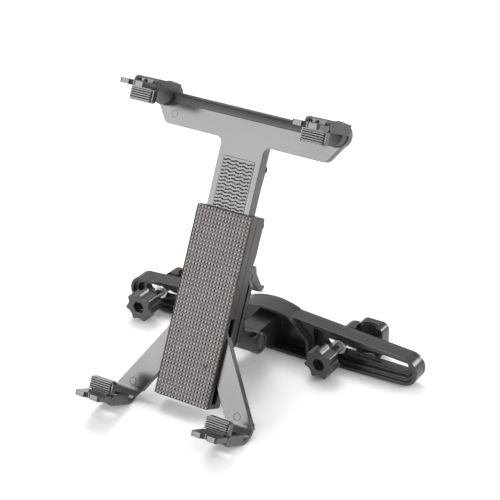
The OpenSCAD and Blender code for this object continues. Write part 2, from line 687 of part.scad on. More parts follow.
module lug_profile() {
    y = -beam_back;
    z = hinge_rise;
    translate([y, z]) circle(barrel_r);
    polygon([[y, z + barrel_r - 1], [y + 4, gusset_z], [-hood_out, gusset_z], [shell_y1, gusset_z + 2],
        [shell_y1, -beam_low + hood_t], [-hood_out, -beam_low + hood_t], [y + 3, z - barrel_r + 0.7], [y, z - barrel_r]]);
}
screw_in = slot_in - slot_h / 2 - 3.1;
screw_out = slot_out + slot_h / 2 + 2.9;
module at_cover_screws() { for (s = [-1, 1], x = [screw_in, screw_out]) translate([s * x, 0, end_z]) children(); }

module beam_shell() {
    color("dimgray") in_beam() difference() {
        union() {
            difference() {
                union() {
                    plate_y(0, shell_y1) arm_outline(0);
                    plate_y(-hood_out, shell_y1) hood_outline(0);
                }
                plate_y(-1, ledge_y) outside_hood() arm_outline(2.4);
                plate_y(0, floor_y) outside_hood() arm_outline(4.8);
                plate_y(-far, shell_y1 - hood_t) hood_outline(hood_t);
                plate_y(0, far) slot_outline(slot_h);
            }
            intersection() {
                plate_x(-lug_w / 2, lug_w / 2) lug_profile();
                union() {
                    plate_y(-far, shell_y1 - eps) hood_outline(hood_t - 0.5);
                    plate_y(-far, -hood_out) square(far, center = true);
                }
            }
        }
        translate([0, -beam_back, hinge_rise]) bar_x(hinge_pin_r + pin_gap, -far, far);
        at_cover_screws() bar_y(1.2, floor_y + 0.6, far);
    }
}
module back_cover() {
    color("dimgray") in_beam() difference() {
        plate_y(shell_y1, beam_d) { arm_outline(0); hood_outline(0); }
        plate_y(0, far) slot_outline(slot_h);
        at_cover_screws() bar_y(1.2, 0, far);
        at_cover_screws() bar_y(2.3, beam_d - 1.6, far);
    }
}
module cover_screws() {
    color("silver") in_beam() at_cover_screws() { bar_y(1.2, floor_y + 0.6, beam_d - 0.2); bar_y(2.3, beam_d - 1.6, beam_d - 0.2); }
}

// Clamp pieces, drawn with the bolt's axis at x = 0
module jaw() {
    mid = (jaw_top + jaw_low) / 2;
    difference() {
        plate_y(jaw_y0, jaw_y1) {
            circle(jaw_side);
            translate([post_offset, mid]) round_rect(2 * groove_r + 6, jaw_top - jaw_low, 5);
            translate([0, -jaw_side]) square([post_offset - groove_r, 2 * jaw_side]);
        }
        translate([post_offset, post_y, jaw_low - 1]) cylinder(h = jaw_top - jaw_low + 2, r = groove_r);
        bar_y(bolt_r, 0, far);
        translate([0, jaw_y1 - 4, 0]) rotate([-90, 0, 0]) rotate([0, 0, 30]) cylinder(h = far, r = 5.8, $fn = 6);
    }
}
module jaw_lining() {
    difference() {
        translate([post_offset, post_y, jaw_low + 1]) cylinder(h = jaw_top - jaw_low - 2, r = groove_r);
        translate([post_offset, post_y, jaw_low]) cylinder(h = jaw_top - jaw_low, r = post_r + 0.1);
        translate([-far / 2, jaw_y0 - far, -far / 2]) cube(far);
    }
}
module clamp_bolt() {
    bar_y(bolt_r, -knob_out - knob_t + 4, jaw_y1 - 1);
    translate([0, jaw_y1 - 4, 0]) rotate([-90, 0, 0]) rotate([0, 0, 30]) cylinder(h = 3.8, r = 5.8, $fn = 6);
}
module washer() {
    difference() { bar_y(beam_end_r - 5.1, floor_y - 1.4, floor_y); bar_y(bolt_r + pin_gap, 0, far); }
}
// Star outline: round points with hollow flutes between them
module star_outline() {
    flute_r = knob_r * 0.5;
    difference() {
        union() {
            circle(knob_r - 1.4);
            for (i = [0 : knob_points - 1]) rotate(90 + i * 360 / knob_points) translate([knob_r - 2.2, 0]) circle(2.2);
        }
        for (i = [0 : knob_points - 1]) rotate(90 + (i + 0.5) * 360 / knob_points)
            translate([knob_r + flute_r * 0.6, 0]) circle(flute_r);
    }
}
module knob() {
    difference() {
        union() {
            plate_y(-knob_out - knob_t, -knob_out - 1) star_outline();
            bar_y(knob_r * 0.62, -knob_out - 1.2, -knob_out);
        }
        bar_y(bolt_r + pin_gap, -far, far);
        translate([0, -knob_out - knob_t - 1, 0]) rotate([-90, 0, 0]) cylinder(h = 5.5, r = 4.6, $fn = 6);
    }
}
module at_bolt(x) { in_beam() translate([x, 0, 0]) children(); }
module jaw_left() { color("dimgray") at_bolt(left_bolt_x) jaw(); }
module jaw_right() { color("dimgray") at_bolt(right_bolt_x) jaw(); }
module jaw_lining_left() { color("black") at_bolt(left_bolt_x) jaw_lining(); }
module jaw_lining_right() { color("black") at_bolt(right_bolt_x) jaw_lining(); }
module clamp_bolt_left() { color("silver") at_bolt(left_bolt_x) clamp_bolt(); }
module clamp_bolt_right() { color("silver") at_bolt(right_bolt_x) clamp_bolt(); }
module washer_left() { color("silver") at_bolt(left_bolt_x) washer(); }
module washer_right() { color("silver") at_bolt(right_bolt_x) washer(); }
module knob_left() { color("darkslategray") at_bolt(left_bolt_x) knob(); }
module knob_right() { color("darkslategray") at_bolt(right_bolt_x) knob(); }

grip_pad();
front_frame();
rear_housing();
housing_screws();
top_bar();
claw_top_left();
claw_top_right();
claw_low_left();
claw_low_right();
claw_pin_top_left();
claw_pin_top_right();
claw_pin_low_left();
claw_pin_low_right();
leg_left();
leg_right();
leg_pin_left();
leg_pin_right();
release_lever();
release_pin();
index_disc();
tilt_bracket();
spindle_washer();
spindle_screw();
lock_lever();
lock_pin();
hinge_bolt();
hinge_nut();
beam_shell();
back_cover();
cover_screws();
jaw_left();
jaw_right();
jaw_lining_left();
jaw_lining_right();
clamp_bolt_left();
clamp_bolt_right();
washer_left();
washer_right();
knob_left();
knob_right();
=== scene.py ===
"""Looks of the headrest tablet mount: moulded plastics, woven grip pad, zinc steel.

Everything is in metres in the part's frame: +X along the beam, -Y to the front, +Z up.
"""
import json

import bmesh
import bpy
import numpy as np
from mathutils import Matrix, Vector


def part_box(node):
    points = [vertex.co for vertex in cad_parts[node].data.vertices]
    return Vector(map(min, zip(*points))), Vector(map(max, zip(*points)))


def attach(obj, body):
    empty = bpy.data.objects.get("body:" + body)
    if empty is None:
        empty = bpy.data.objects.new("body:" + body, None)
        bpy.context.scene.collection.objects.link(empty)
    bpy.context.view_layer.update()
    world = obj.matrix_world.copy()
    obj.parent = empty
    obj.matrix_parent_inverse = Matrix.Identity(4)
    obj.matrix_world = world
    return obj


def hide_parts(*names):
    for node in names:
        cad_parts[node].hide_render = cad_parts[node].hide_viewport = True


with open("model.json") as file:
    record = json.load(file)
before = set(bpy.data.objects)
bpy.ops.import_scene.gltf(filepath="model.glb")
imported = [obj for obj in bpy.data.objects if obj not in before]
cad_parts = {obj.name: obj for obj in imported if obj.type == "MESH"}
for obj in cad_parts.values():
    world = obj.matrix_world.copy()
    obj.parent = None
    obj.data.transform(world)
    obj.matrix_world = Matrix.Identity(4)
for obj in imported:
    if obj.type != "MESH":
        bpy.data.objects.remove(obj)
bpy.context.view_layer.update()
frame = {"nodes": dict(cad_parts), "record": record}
BODY_OF = {node: body for body, names in frame["record"]["behaviour"]["bodies"].items() for node in names}
SLOT_OF = {part["node"]: part["material_slot"] for part in frame["record"]["subparts"]}

# Sizes of the real thing, as in the part's source
LEAN = np.radians(25.37000693874009)                  # of the cradle, backwards
HINGE = np.array([0.0, -0.03225, 0.019])              # tilt hinge
HINGE_BACK, HINGE_DROP = 0.0665, 0.022                # from the cradle's zero to the hinge
BEAM_SHIFT = np.array([0.0, -0.00445, 0.0121])        # place of the beam's zero
CLAW_X, LOW_X = 0.0624, 0.0438928                     # upper and lower claws, from the middle
TOP_PIN, LOW_PIN, LIP_Y = 0.1288, -0.0715, -0.025     # heights of the claws' pins, front of their lips
BACK = np.array([0, np.cos(LEAN), -np.sin(LEAN)])     # the cradle's own directions
UP = np.array([0, np.sin(LEAN), np.cos(LEAN)])


def from_cradle(p):
    """Cradle points (across, back from the pad, up the cradle) turned by the lean about the tilt hinge."""
    p = np.asarray(p, float)
    y, z = p[..., 1] - HINGE_BACK, p[..., 2] + HINGE_DROP
    return np.stack([p[..., 0], HINGE[1] + y * np.cos(LEAN) + z * np.sin(LEAN),
                     HINGE[2] - y * np.sin(LEAN) + z * np.cos(LEAN)], -1)


def from_beam(p):
    """Beam points moved to the beam's place."""
    return np.asarray(p, float) + BEAM_SHIFT


# Camera, fitted to the photograph
SENSOR, PHOTO_WIDTH, FOCAL_PIXELS = 36, 500, 1725
AZIMUTH, ELEVATION, ROLL = 32.41, 27.39, -0.178
CAMERA_PLACE = (0.5341, -0.86706, 0.59836)


def look_from(azimuth, elevation, roll, place, pixels):
    """Camera turned by azimuth about Z, raised by elevation, with a focal length in image pixels."""
    cam = bpy.data.objects.new("Camera", bpy.data.cameras.new("Camera"))
    bpy.context.scene.collection.objects.link(cam)
    cam.data.sensor_width = SENSOR
    cam.data.lens = SENSOR * pixels / PHOTO_WIDTH
    cam.data.clip_end = 20
    turn = Matrix.Rotation(np.radians(azimuth), 4, "Z") @ Matrix.Rotation(np.radians(90 - elevation), 4, "X")
    cam.matrix_world = Matrix.Translation(place) @ turn @ Matrix.Rotation(np.radians(roll), 4, "Z")
    bpy.context.scene.camera = cam


look_from(AZIMUTH, ELEVATION, ROLL, CAMERA_PLACE, FOCAL_PIXELS)
scene = bpy.context.scene
scene.view_settings.view_transform = "Standard"


# Finishes
class Wire:
    """One socket of a shader, so that sums and products of patterns read as sums and products."""

    def __init__(self, tree, socket):
        self.tree, self.socket = tree, socket

    def math(self, kind, *others):
        """A Math node of that kind with this socket first."""
        return add(self.tree, "ShaderNodeMath", {"operation": kind}, [self, *others])

    def after(self, kind, other):
        """A Math node of that kind with this socket second."""
        return add(self.tree, "ShaderNodeMath", {"operation": kind}, [other, self])

    def __add__(self, other):
        return self.math("ADD", other)

    def __sub__(self, other):
        return self.math("SUBTRACT", other)

    def __mul__(self, other):
        return self.math("MULTIPLY", other)

    def __truediv__(self, other):
        return self.math("DIVIDE", other)

    def __radd__(self, other):
        return self.after("ADD", other)

    def __rsub__(self, other):
        return self.after("SUBTRACT", other)

    def __rmul__(self, other):
        return self.after("MULTIPLY", other)

    def __rtruediv__(self, other):
        return self.after("DIVIDE", other)

    def squared(self):
        return self.math("POWER", 2)

    def fraction(self):
        """What is left above the whole number."""
        return self - self.math("FLOOR")

    def sin(self):
        return self.math("SINE")

    def abs(self):
        return self.math("ABSOLUTE")

    def clip(self):
        """Held between 0 and 1."""
        return add(self.tree, "ShaderNodeClamp", {}, {"Value": self})


def add(tree, kind, settings, inputs, out=0):
    """Adds a node of that kind, sets its settings, then the values or links of its sockets."""
    node = tree.nodes.new(kind)
    for name, value in settings.items():
        if name == "stops":
            ramp = node.color_ramp
            while len(ramp.elements) < len(value):
                ramp.elements.new(0.5)
            for element, (at, colour) in zip(ramp.elements, value):
                element.position, element.color = at, (*colour, 1)
        else:
            setattr(node, name, value)
    pairs = enumerate(inputs) if isinstance(inputs, list) else inputs.items()
    for name, value in pairs:
        if isinstance(value, Wire):
            tree.links.new(value.socket, node.inputs[name])
        else:
            node.inputs[name].default_value = value
    return Wire(tree, node.outputs[out])


def material(name, build, **fixed):
    """A Principled material: fixed numbers go on its own sockets, and build returns what varies."""
    mat = bpy.data.materials.new(name)
    mat.use_nodes = True
    tree = mat.node_tree
    shader = tree.nodes["Principled BSDF"]
    for socket, value in fixed.items():
        shader.inputs[socket].default_value = value
    place = add(tree, "ShaderNodeTexCoord", {}, {}, "Object")
    for socket, wire in build(tree, place).items():
        tree.links.new(wire.socket, shader.inputs[socket])
    return mat


def noise(tree, place, scale, detail=3, rough=0.5, stretch=(1, 1, 1)):
    """Cloudy pattern with its cells drawn out along the axes where stretch is below 1."""
    where = add(tree, "ShaderNodeVectorMath", {"operation": "MULTIPLY"}, [place, stretch])
    sockets = {"Vector": where, "Scale": scale, "Detail": detail, "Roughness": rough}
    return add(tree, "ShaderNodeTexNoise", {}, sockets)


def blend_colour(tree, amount, a, b):
    """Colour a where the amount is 0 and b where it is 1."""
    sockets = {"Factor": amount, "A": (*a, 1), "B": (*b, 1)}
    return add(tree, "ShaderNodeMix", {"data_type": "RGBA"}, sockets, "Result")


def bump(tree, height, strength, depth):
    """Normal of a surface that a pattern raises by up to the depth."""
    return add(tree, "ShaderNodeBump", {}, {"Strength": strength, "Distance": depth, "Height": height})


def measured(tree, kind, place, other):
    """The number that vector maths of that kind gives for a place and a fixed vector."""
    return add(tree, "ShaderNodeVectorMath", {"operation": kind}, [place, tuple(map(float, other))], "Value")


def forward(tree, place, depth):
    """1 in front of a depth behind the pad's face, 0 behind it, over a third of a millimetre."""
    limit = float(from_cradle([0, depth, 0]) @ BACK)
    return ((limit - measured(tree, "DOT_PRODUCT", place, BACK)) * 3000).clip()


def moulded(name, dark, light, rough, dull=None, **fixed):
    """Moulded black plastic: fine spark-eroded grain, faint cloudy sheen and slightly paler scuffs.

    Where dull is given, what lies in front of that depth of the cradle is duller.
    """
    def build(tree, place):
        cloud = noise(tree, place, 38, 4)
        grain = noise(tree, place, 2600, 2, 0.6)
        scuff = noise(tree, place, 420, 5, 0.7, (1, 0.25, 1))
        marks = ((scuff - 0.62) * 6).clip()
        tone = (cloud * 0.55 + grain * 0.25 + marks * 0.2).clip()
        matt = forward(tree, place, dull) * 0.3 if dull else 0
        sheen = (matt + rough + (cloud - 0.5) * 0.12 + (grain - 0.5) * 0.08 + marks * 0.06).clip()
        return {"Base Color": blend_colour(tree, tone, dark, light),
                "Roughness": sheen,
                "Normal": bump(tree, grain, 0.05, 0.0002)}
    return material(name, build, **fixed)


def steel_build(tree, place):
    """Zinc plating: fine brushing along Y under a faint cloud."""
    brushed = noise(tree, place, 900, 3, 0.6, (1, 0.15, 1))
    cloud = noise(tree, place, 120, 3)
    tone = (cloud * 0.6 + brushed * 0.4).clip()
    return {"Base Color": blend_colour(tree, tone, (0.5, 0.5, 0.52), (0.78, 0.78, 0.8)),
            "Roughness": (brushed * 0.25 + 0.18).clip(),
            "Normal": bump(tree, brushed, 0.15, 0.0001)}


THREAD_PITCH, RECESS_Y = 0.001, -0.0217               # in front of the second the bolt is in the knob


def bolt_build(tree, place):
    """Zinc thread: rings one pitch apart along Y, and painted near-black as painted shade inside the knob's
    recess.
    """
    made = steel_build(tree, place)
    y = add(tree, "ShaderNodeSeparateXYZ", {}, [place], "Y")
    turns = (y * (2 * np.pi / THREAD_PITCH)).sin()
    # Painted shade: the bolt's end inside the knob's deep recess is coloured near-black
    thread_rings_and_recess_shade = ((y - RECESS_Y) * 4000).clip() * (turns * 0.3 + 0.7)
    made["Base Color"] = blend_colour(tree, thread_rings_and_recess_shade, (0.02, 0.02, 0.02), (0.72, 0.72, 0.74))
    return made


CELL_X, CELL_Z = 0.00234, 0.0026                      # one knot of the pad's weave
PAD_UP = float(from_cradle([0, 0, 0]) @ UP)
SPECK, SPECK_RADIUS = from_cradle([0.0124, 0.0005, -0.0363]), 0.0012


def pad_build(tree, place):
    """Rows of knots over a darker pinkish-gray ground: the knots are painted lighter as painted highlight,
    and the pit beside each knot is painted near-black as painted shade.

    The pits and knots have the formulas of weave(), with wobbling columns. One dark speck lies low on the
    right.
    """
    across = add(tree, "ShaderNodeSeparateXYZ", {}, [place])
    wobble = (noise(tree, place, 900, 2) - 0.5) * 0.35
    u = (across / CELL_X + wobble).fraction() - 0.5
    v = ((measured(tree, "DOT_PRODUCT", place, UP) - PAD_UP) / CELL_Z).fraction() - 0.5
    pit = (1.3 - ((u - 0.22 + v * 0.2) * 5).squared() - ((v + 0.08) * 3.6).squared()).clip()
    knot = (1.2 - ((u + 0.24 - v * 0.3) * 3.8).squared() - ((v - 0.04) * 3.6).squared()).clip()
    seam = ((v.abs() - 0.36) * 5).clip()
    dust = noise(tree, place, 260, 4, 0.6)
    speck = ((SPECK_RADIUS - measured(tree, "DISTANCE", place, SPECK)) * 2500).clip()
    # Painted light: knot adds a painted highlight on the knots' tops, and pit adds a painted shade in the
    # pits
    tone = (0.36 + knot * 0.6 + (dust - 0.5) * 0.5 - pit * 1.1 - seam * 0.15 - speck).clip()
    stops = [(0.0, (0.008, 0.007, 0.007)), (0.3, (0.085, 0.077, 0.076)), (0.85, (0.36, 0.33, 0.325))]
    return {"Base Color": add(tree, "ShaderNodeValToRGB", {"stops": stops}, [tone]),
            "Roughness": (0.5 + (dust - 0.5) * 0.3).clip(),
            "Normal": bump(tree, noise(tree, place, 3000), 0.2, 0.0002)}


BLACK, BLACK_WORN = (0.018, 0.018, 0.02), (0.036, 0.036, 0.039)
MOULDED = moulded("moulded_plastic", BLACK, BLACK_WORN, 0.22, IOR=1.56)
STEM = moulded("stem_plastic", BLACK, BLACK_WORN, 0.22, dull=0.0042, IOR=1.56)
HOUSING = moulded("housing_plastic", (0.014, 0.014, 0.016), (0.028, 0.028, 0.031), 0.34)
BEAM = moulded("beam_plastic", (0.012, 0.012, 0.014), (0.024, 0.024, 0.027), 0.26, IOR=1.55)
KNOB = moulded("knob_plastic", (0.022, 0.022, 0.025), (0.042, 0.042, 0.046), 0.24, IOR=1.55)
LINING = moulded("lining_rubber", (0.01, 0.01, 0.01), (0.02, 0.02, 0.02), 0.7)
DARK_STEEL = moulded("dark_steel", (0.03, 0.03, 0.033), (0.06, 0.06, 0.065), 0.3)
STEEL = material("zinc_steel", steel_build, Metallic=1.0)
BOLT = material("zinc_bolt", bolt_build, Metallic=1.0)
PAD = material("pad_rubber", pad_build)
FINISH = {"housing_plastic": HOUSING, "moulded_plastic": MOULDED, "beam_plastic": BEAM,
          "knob_plastic": KNOB, "pad_rubber": PAD, "lining_rubber": LINING, "steel": STEEL,
          "dark_steel": DARK_STEEL}


# The solids, with broken edges
def mesh_piece(name, mesh, body, mat, replaced=()):
    """Puts a mesh in the scene as a piece that rides on a body."""
    piece = bpy.data.objects.new(name, mesh)
    scene.collection.objects.link(piece)
    mesh.materials.clear()
    mesh.materials.append(mat)
    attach(piece, body)
    if replaced:
        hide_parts(*replaced)
    return piece


def modify(piece, kind, **settings):
    """Adds a modifier of that kind and sets its settings."""
    step = piece.modifiers.new(kind.title().replace("_", ""), kind)
    for name, value in settings.items():
        setattr(step, name, value)


WELD = 2e-6                                           # doubles are nearer than this
FLAT = np.radians(0.6)                                # faces turned by less are one
SHARP = np.radians(34)                                # edges turned by more are broken
# Nodes whose flat faces have holes: they keep their triangles, which a bevel follows more surely
TRIANGLED = ("front_frame", "claw_top_left", "claw_top_right", "claw_low_left", "claw_low_right")
EDGES = {"front_frame": 0.0004, "rear_housing": 0.0005, "top_bar": 0.0003,
         "leg_left": 0.0003, "leg_right": 0.0003,
         "claw_top_left": 0.0001, "claw_top_right": 0.0001, "claw_low_left": 0.0001, "claw_low_right": 0.0001,
         "release_lever": 0.0003, "lock_lever": 0.0004, "tilt_bracket": 0.0004, "index_disc": 0.0002,
         "beam_shell": 0.0004, "back_cover": 0.0004, "jaw_left": 0.0005, "jaw_right": 0.0005,
         "knob_left": 0.0004, "knob_right": 0.0004, "washer_left": 0.00045, "washer_right": 0.00045,
         "hinge_bolt": 0.0003, "hinge_nut": 0.0002}


def rounded(node, radius, mat=None, twin=None):
    """A node's solid with its loose triangles merged to faces and its edges broken by a small radius.

    A twin is a node of the same shape elsewhere along X, whose triangles are used in its stead.
    """
    solid = bmesh.new()
    solid.from_mesh(frame["nodes"][twin or node].data)
    if twin:
        bmesh.ops.translate(solid, verts=solid.verts, vec=(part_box(node)[0][0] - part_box(twin)[0][0], 0, 0))
    bmesh.ops.remove_doubles(solid, verts=solid.verts, dist=WELD)
    if node not in TRIANGLED:
        bmesh.ops.dissolve_limit(solid, angle_limit=FLAT, verts=solid.verts, edges=solid.edges)
    mesh = bpy.data.meshes.new(node + "_rounded")
    solid.to_mesh(mesh)
    solid.free()
    mesh.shade_smooth()
    slot = SLOT_OF[node]
    piece = mesh_piece(node + "_rounded", mesh, BODY_OF[node], mat or FINISH[slot], (node,))
    modify(piece, "BEVEL", width=radius, segments=2, limit_method="ANGLE", angle_limit=SHARP,
           use_clamp_overlap=False, miter_outer="MITER_ARC")
    modify(piece, "WEIGHTED_NORMAL", mode="FACE_AREA", weight=50, keep_sharp=False)


for node, radius in EDGES.items():
    mat = STEM if node == "top_bar" else None
    rounded(node, radius, mat, twin="jaw_left" if node == "jaw_right" else None)
for node, obj in frame["nodes"].items():
    mat = BOLT if "clamp_bolt" in node else DARK_STEEL if "pin" in node else FINISH[SLOT_OF[node]]
    obj.data.materials.clear()
    obj.data.materials.append(mat)


# Surfaces added on the solids
def grid_faces(rows, cols):
    """Quads of a grid of points, row by row."""
    at = np.arange(rows * cols).reshape(rows, cols)
    return np.stack([at[:-1, :-1], at[:-1, 1:], at[1:, 1:], at[1:, :-1]], -1).reshape(-1, 4)


def skin(name, points, faces, weld=None, facing=None):
    """Smooth mesh with its faces turned outwards, or for an open cap towards a direction."""
    mesh = bpy.data.meshes.new(name)
    mesh.from_pydata(points.reshape(-1, 3).tolist(), [], faces)
    shape = bmesh.new()
    shape.from_mesh(mesh)
    if weld:
        bmesh.ops.remove_doubles(shape, verts=shape.verts, dist=weld)
    bmesh.ops.recalc_face_normals(shape, faces=shape.faces)
    if facing is not None and sum((f.normal @ Vector(facing)) * f.calc_area() for f in shape.faces) < 0:
        bmesh.ops.reverse_faces(shape, faces=shape.faces)
    shape.to_mesh(mesh)
    shape.free()
    mesh.shade_smooth()
    return mesh


def tile(name, front, back):
    """Closed mesh: a grid of front points, walls round its rim and one flat face at the back."""
    rows, cols = front.shape[:2]
    at = np.arange(rows * cols).reshape(rows, cols)
    rim = np.concatenate([at[0, :-1], at[:-1, -1], at[-1, :0:-1], at[:0:-1, 0]])
    low = front.reshape(-1, 3)[rim].copy()
    low[:, 1] = back
    points = from_cradle(np.concatenate([front.reshape(-1, 3), low]))
    below = rows * cols + np.arange(len(rim))
    walls = np.stack([rim, np.roll(rim, -1), np.roll(below, -1), below], -1)[:, ::-1]
    mesh = skin(name, points, grid_faces(rows, cols).tolist() + walls.tolist() + [below.tolist()])
    mesh.set_sharp_from_angle(angle=np.radians(50))
    return mesh


def weave(x, z):
    """Height of the woven pad, 0 to 1: in each cell (u, v) about its middle, a leaning knot beside a pit.

    knot = 1.2 - (3.8 (u + 0.24 - 0.3 v))^2 - (3.6 (v - 0.04))^2 and
    pit = 1.3 - (5 (u - 0.22 + 0.2 v))^2 - (3.6 (v + 0.08))^2, both held between 0 and 1;
    height = 0.5 + 0.5 sqrt(knot) - 0.5 pit.
    """
    u, v = x / CELL_X % 1 - 0.5, z / CELL_Z % 1 - 0.5
    knot = np.clip(1.2 - (3.8 * (u + 0.24 - 0.3 * v)) ** 2 - (3.6 * (v - 0.04)) ** 2, 0, 1)
    pit = np.clip(1.3 - (5 * (u - 0.22 + 0.2 * v)) ** 2 - (3.6 * (v + 0.08)) ** 2, 0, 1)
    return 0.5 + 0.5 * np.sqrt(knot) - 0.5 * pit


# Grip pad: y = depth (1 - lift) (1 - flat) + edge, where lift is the weave inside the border, flat is 1
# along the border's middle, and edge is the quarter round of the rim
PAD_X, PAD_Z, PAD_THICK, WEAVE_DEPTH = 0.0201, 0.0621, 0.0016, 0.0008
WEAVE_START, WEAVE_FADE = 0.0009, 0.0005              # in from the rim
BORDER_MIDDLE, BORDER_HALF = 0.0005, 0.0006
EDGE_WIDE, EDGE_DROP = 0.0007, 0.0005
gx, gz = np.meshgrid(np.linspace(-PAD_X, PAD_X, 150), np.linspace(-PAD_Z, PAD_Z, 440))
border = np.minimum(PAD_X - np.abs(gx), PAD_Z - np.abs(gz))
lift = weave(gx, gz) * np.clip((border - WEAVE_START) / WEAVE_FADE, 0, 1)
flat = np.clip(1 - np.abs(border - BORDER_MIDDLE) / BORDER_HALF, 0, 1)
edge = EDGE_DROP * (1 - np.sqrt(1 - np.clip(1 - border / EDGE_WIDE, 0, 1) ** 2))
front = np.stack([gx, WEAVE_DEPTH * (1 - lift) * (1 - flat) + edge, gz], -1)
mesh_piece("pad_weave", tile("pad_weave", front, PAD_THICK), "cradle", PAD, ("grip_pad",))

# Wavy panel pressed into the stem: one groove each pitch, along z = -swing sin(2 pi x / period), broken
# into dashes that are staggered by half a period from row to row
WAVE_X, WAVE_LOW, WAVE_TOP = 0.01145, 0.0231, 0.09545
WAVE_PITCH, WAVE_PERIOD, WAVE_SWING, WAVE_DEPTH = 0.00225, 0.0057, 0.0004, 0.0005
WAVE_MARGIN, GROOVE_HALF = 0.0004, 0.115              # a length, and a share of the pitch
STEM_FACE, STEM_INSIDE, PANEL_PROUD = 0.0046, 0.00499, 0.00012
gx, gz = np.meshgrid(np.linspace(-WAVE_X, WAVE_X, 110), np.linspace(WAVE_LOW, WAVE_TOP, 330))
phase = (gz + WAVE_SWING * np.sin(2 * np.pi * gx / WAVE_PERIOD)) / WAVE_PITCH
border = np.minimum(WAVE_X - np.abs(gx), np.minimum(gz - WAVE_LOW, WAVE_TOP - gz))
broken = np.clip(4 * np.cos(2 * np.pi * gx / WAVE_PERIOD + np.pi * np.floor(phase)) + 4.0, 0, 1)
inside = np.clip((border - WAVE_MARGIN) / WAVE_MARGIN, 0, 1)
groove = np.clip(1.25 - np.abs((phase % 1) - 0.5) / GROOVE_HALF, 0, 1) * broken * inside
front = np.stack([gx, STEM_FACE - PANEL_PROUD + WAVE_DEPTH * groove, gz], -1)
mesh_piece("wave_panel", tile("wave_panel", front, STEM_INSIDE), "slider", MOULDED)

# Ribs on the claws' lips, over the solid's plainer ribs: each crest is level over its middle half and
# falls as (2 (1 - t))^0.6, where t is 0 at its middle and 1 in the groove
RIB_X, RIB_H, RIBS, RIB_BASE, RIB_PROUD = 0.0077, 0.0072, 5, 0.00048, 0.0007
RIB_END, RIB_SUNK = 0.0004, 0.0001
TOP_LIP, LOW_LIP = TOP_PIN - 0.01166, LOW_PIN + 0.00446
for name, body, x, low in (("top_left", "upper_claw_left", -CLAW_X, TOP_LIP),
                           ("top_right", "upper_claw_right", CLAW_X, TOP_LIP),
                           ("low_left", "lower_claw_left", -LOW_X, LOW_LIP),
                           ("low_right", "lower_claw_right", LOW_X, LOW_LIP)):
    gx, gz = np.meshgrid(np.linspace(-RIB_X, RIB_X, 30), np.linspace(0, RIB_H, 127))
    t = np.abs((gz / RIB_H * RIBS) % 1 - 0.5) * 2
    crest = np.clip((1 - t) / 0.5, 0, 1) ** 0.6 * np.clip((RIB_X - np.abs(gx)) / RIB_END, 0, 1) ** 0.5
    front = np.stack([gx + x, LIP_Y - RIB_BASE - RIB_PROUD * crest, gz + low], -1)
    ribs = tile("ribs_" + name, front, LIP_Y + RIB_SUNK)
    mesh_piece("ribs_" + name, ribs, body, MOULDED)


def screw_head(name, place, radius, body, axis):
    """Pan head with a cross recess: height = r (0.22 cos(pi d / 2.2) - 0.3 cross), d from 0 to 1 outwards.

    cross falls from 1 to 0 as the distance to the nearer arm's middle grows from 0.09 to 0.13, and as d
    grows from 0.56 to 0.62.
    """
    turn, out = np.meshgrid(np.linspace(0, 2 * np.pi, 65), np.linspace(0.02, 1, 22))
    a, b = out * np.cos(turn), out * np.sin(turn)
    arm = np.minimum(np.abs(a), np.abs(b))
    cross = np.clip((0.13 - arm) / 0.04, 0, 1) * np.clip((0.62 - out) / 0.06, 0, 1)
    rise = 0.22 * np.cos(np.pi * out / 2.2) - 0.3 * cross
    right = np.array([1.0, 0, 0])
    up = np.cross(axis, right)
    head = a[..., None] * right + rise[..., None] * np.array(axis) + b[..., None] * up
    faces = grid_faces(*out.shape).tolist() + [list(range(64))]
    mesh = skin(name, np.array(place) + radius * head, faces, weld=1e-6, facing=axis)
    mesh_piece(name, mesh, body, STEEL)


HOUSING_SCREWS = ((-0.0183, 0.057), (0.0183, 0.057), (-0.0183, 0.008), (0.0183, 0.008), (0, -0.056))
COVER_SCREWS = (-0.1073, -0.0385, 0.0385, 0.1073)
for i, (x, z) in enumerate(HOUSING_SCREWS):
    screw_head(f"housing_screw_head_{i}", from_cradle([x, 0.01631, z]), 0.0018, "cradle", BACK)
for i, x in enumerate(COVER_SCREWS):
    screw_head(f"cover_screw_head_{i}", from_beam([x, 0.01241, -0.0003]), 0.0022, "beam", (0, 1, 0))


def torus(radius, thick):
    """Torus about its middle: (R + r cos v) cos u, (R + r cos v) sin u and r sin v along its axis.

    Gives these three and the quads between them.
    """
    u = np.linspace(0, 2 * np.pi, 48, endpoint=False)
    v = np.linspace(0, 2 * np.pi, 10, endpoint=False)
    u, v = np.meshgrid(u, v)
    out = radius + thick * np.cos(v)
    at = np.arange(u.size).reshape(u.shape)
    right, down = np.roll(at, -1, 1), np.roll(at, -1, 0)
    faces = np.stack([at, right, np.roll(right, -1, 0), down], -1).reshape(-1, 4)
    return out * np.cos(u), out * np.sin(u), thick * np.sin(v), faces.tolist()


def mould_mark(name, centre, radius, thick, body):
    """Ring in a plate's front face, a torus() whose axis runs back from the pad."""
    a, b, axis, faces = torus(radius, thick)
    points = from_cradle(np.stack([a, axis, b], -1) + np.array(centre))
    mesh_piece(name, skin(name, points, faces), body, MOULDED)


EAR_X, RING_RADIUS, RING_THICK = 0.0131, 0.0058, 0.0004


def hinge_ring(name, x):
    """Ring on the outer face of one of the bracket's ears, a torus() round the hinge's axis."""
    a, b, axis, faces = torus(RING_RADIUS, RING_THICK)
    points = np.stack([axis, a, b], -1) + np.array([x, HINGE[1], HINGE[2]])
    mesh_piece(name, skin(name, points, faces), "bracket", KNOB)


